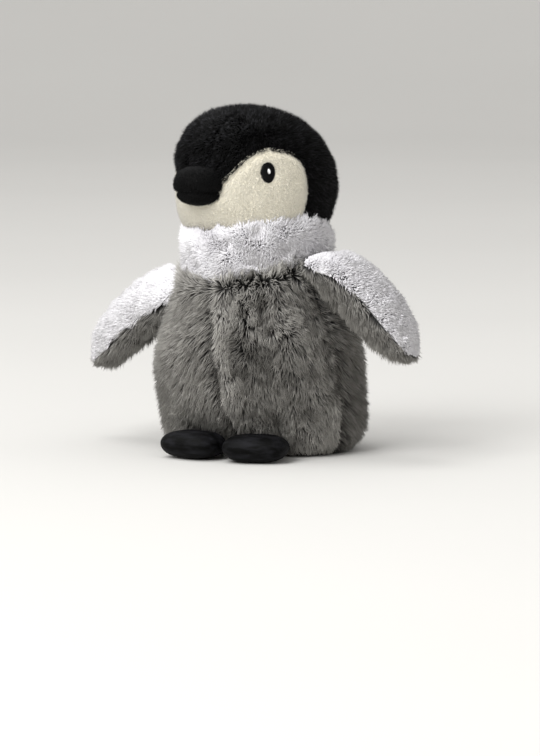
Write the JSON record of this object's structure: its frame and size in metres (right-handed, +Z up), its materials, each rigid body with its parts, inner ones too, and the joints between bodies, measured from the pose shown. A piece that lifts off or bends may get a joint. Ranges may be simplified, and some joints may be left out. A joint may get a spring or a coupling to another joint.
{
  "type": "plush penguin",
  "caption": "Stuffed plush penguin chick standing on a flat base: black hood, cream face, pale collar and wings, grey body pile, black beak and feet.",
  "frame": {"origin": "middle of the flat base, on the surface that the toy stands on", "axes": "+Z up, the belly faces -Y, the toy's own left side is +X"},
  "size_m": [0.2535, 0.1613, 0.234],
  "materials": {
    "grey_pile": "long soft pile, clumped",
    "pale_pile": "soft pile, middling length",
    "black_pile": "short dense pile",
    "cream_pile": "very short smooth pile",
    "black_velour": "velour with a slight sheen",
    "stuffing": "loose white fibre",
    "liner": "plain thin cotton",
    "pellets": "small loose pellets",
    "black_thread": "satin stitch",
    "white_thread": "satin stitch",
    "grey_thread": "sewing thread",
    "ribbon": "blank woven ribbon"
  },
  "bodies": {
    "torso": {"belly_panel_left": "grey_pile", "belly_panel_right": "grey_pile", "back_panel_left": "grey_pile", "back_panel_right": "grey_pile", "base_panel": "grey_pile", "collar_front": "pale_pile", "collar_back": "pale_pile", "body_stuffing": "stuffing", "closing_seam": "grey_thread", "bead_bag_top": "liner", "bead_bag_bottom": "liner", "bead_filling": "pellets", "neck_seam": "grey_thread", "care_label": "ribbon"},
    "neck": {"neck_stuffing": "stuffing"},
    "head": {"face_panel": "cream_pile", "hood_left": "black_pile", "hood_right": "black_pile", "hood_gusset": "black_pile", "head_stuffing": "stuffing", "beak_upper": "black_velour", "beak_lower": "black_velour", "beak_stuffing": "stuffing", "eye_left": "black_thread", "eye_right": "black_thread", "eye_glint_left": "white_thread", "eye_glint_right": "white_thread"},
    "wing_left": {"wing_top_left": "pale_pile", "wing_underside_left": "grey_pile", "wing_stuffing_left": "stuffing"},
    "wing_right": {"wing_top_right": "pale_pile", "wing_underside_right": "grey_pile", "wing_stuffing_right": "stuffing"},
    "foot_left": {"foot_upper_left": "black_velour", "foot_sole_left": "black_velour", "foot_stuffing_left": "stuffing"},
    "foot_right": {"foot_upper_right": "black_velour", "foot_sole_right": "black_velour", "foot_stuffing_right": "stuffing"}
  },
  "joints": [
    {"name": "head_turn", "type": "hinge", "parent": "torso", "child": "neck", "pos_m": [0, -0.014, 0.183], "axis": [0, 0, 1], "range_deg": [-20, 62]},
    {"name": "head_nod", "type": "hinge", "parent": "neck", "child": "head", "pos_m": [0, -0.014, 0.183], "axis": [0.9272, -0.3746, 0], "range_deg": [-15, 15]},
    {"name": "wing_left_flap", "type": "hinge", "parent": "torso", "child": "wing_left", "pos_m": [0.05124, -0.02489, 0.13612], "axis": [-0.0494, -0.9766, 0.2095], "range_deg": [-12, 60]},
    {"name": "wing_right_flap", "type": "hinge", "parent": "torso", "child": "wing_right", "pos_m": [-0.0525, -0.00662, 0.11575], "axis": [-0.0882, 0.9278, 0.3624], "range_deg": [-12, 60]},
    {"name": "foot_left_lift", "type": "hinge", "parent": "torso", "child": "foot_left", "pos_m": [0.01929, -0.0525, 0.0095], "axis": [-0.9703, -0.2419, 0], "range_deg": [0, 20]},
    {"name": "foot_right_lift", "type": "hinge", "parent": "torso", "child": "foot_right", "pos_m": [-0.01929, -0.0495, 0.0095], "axis": [-0.9703, 0.2419, 0], "range_deg": [0, 20]}
  ]
}
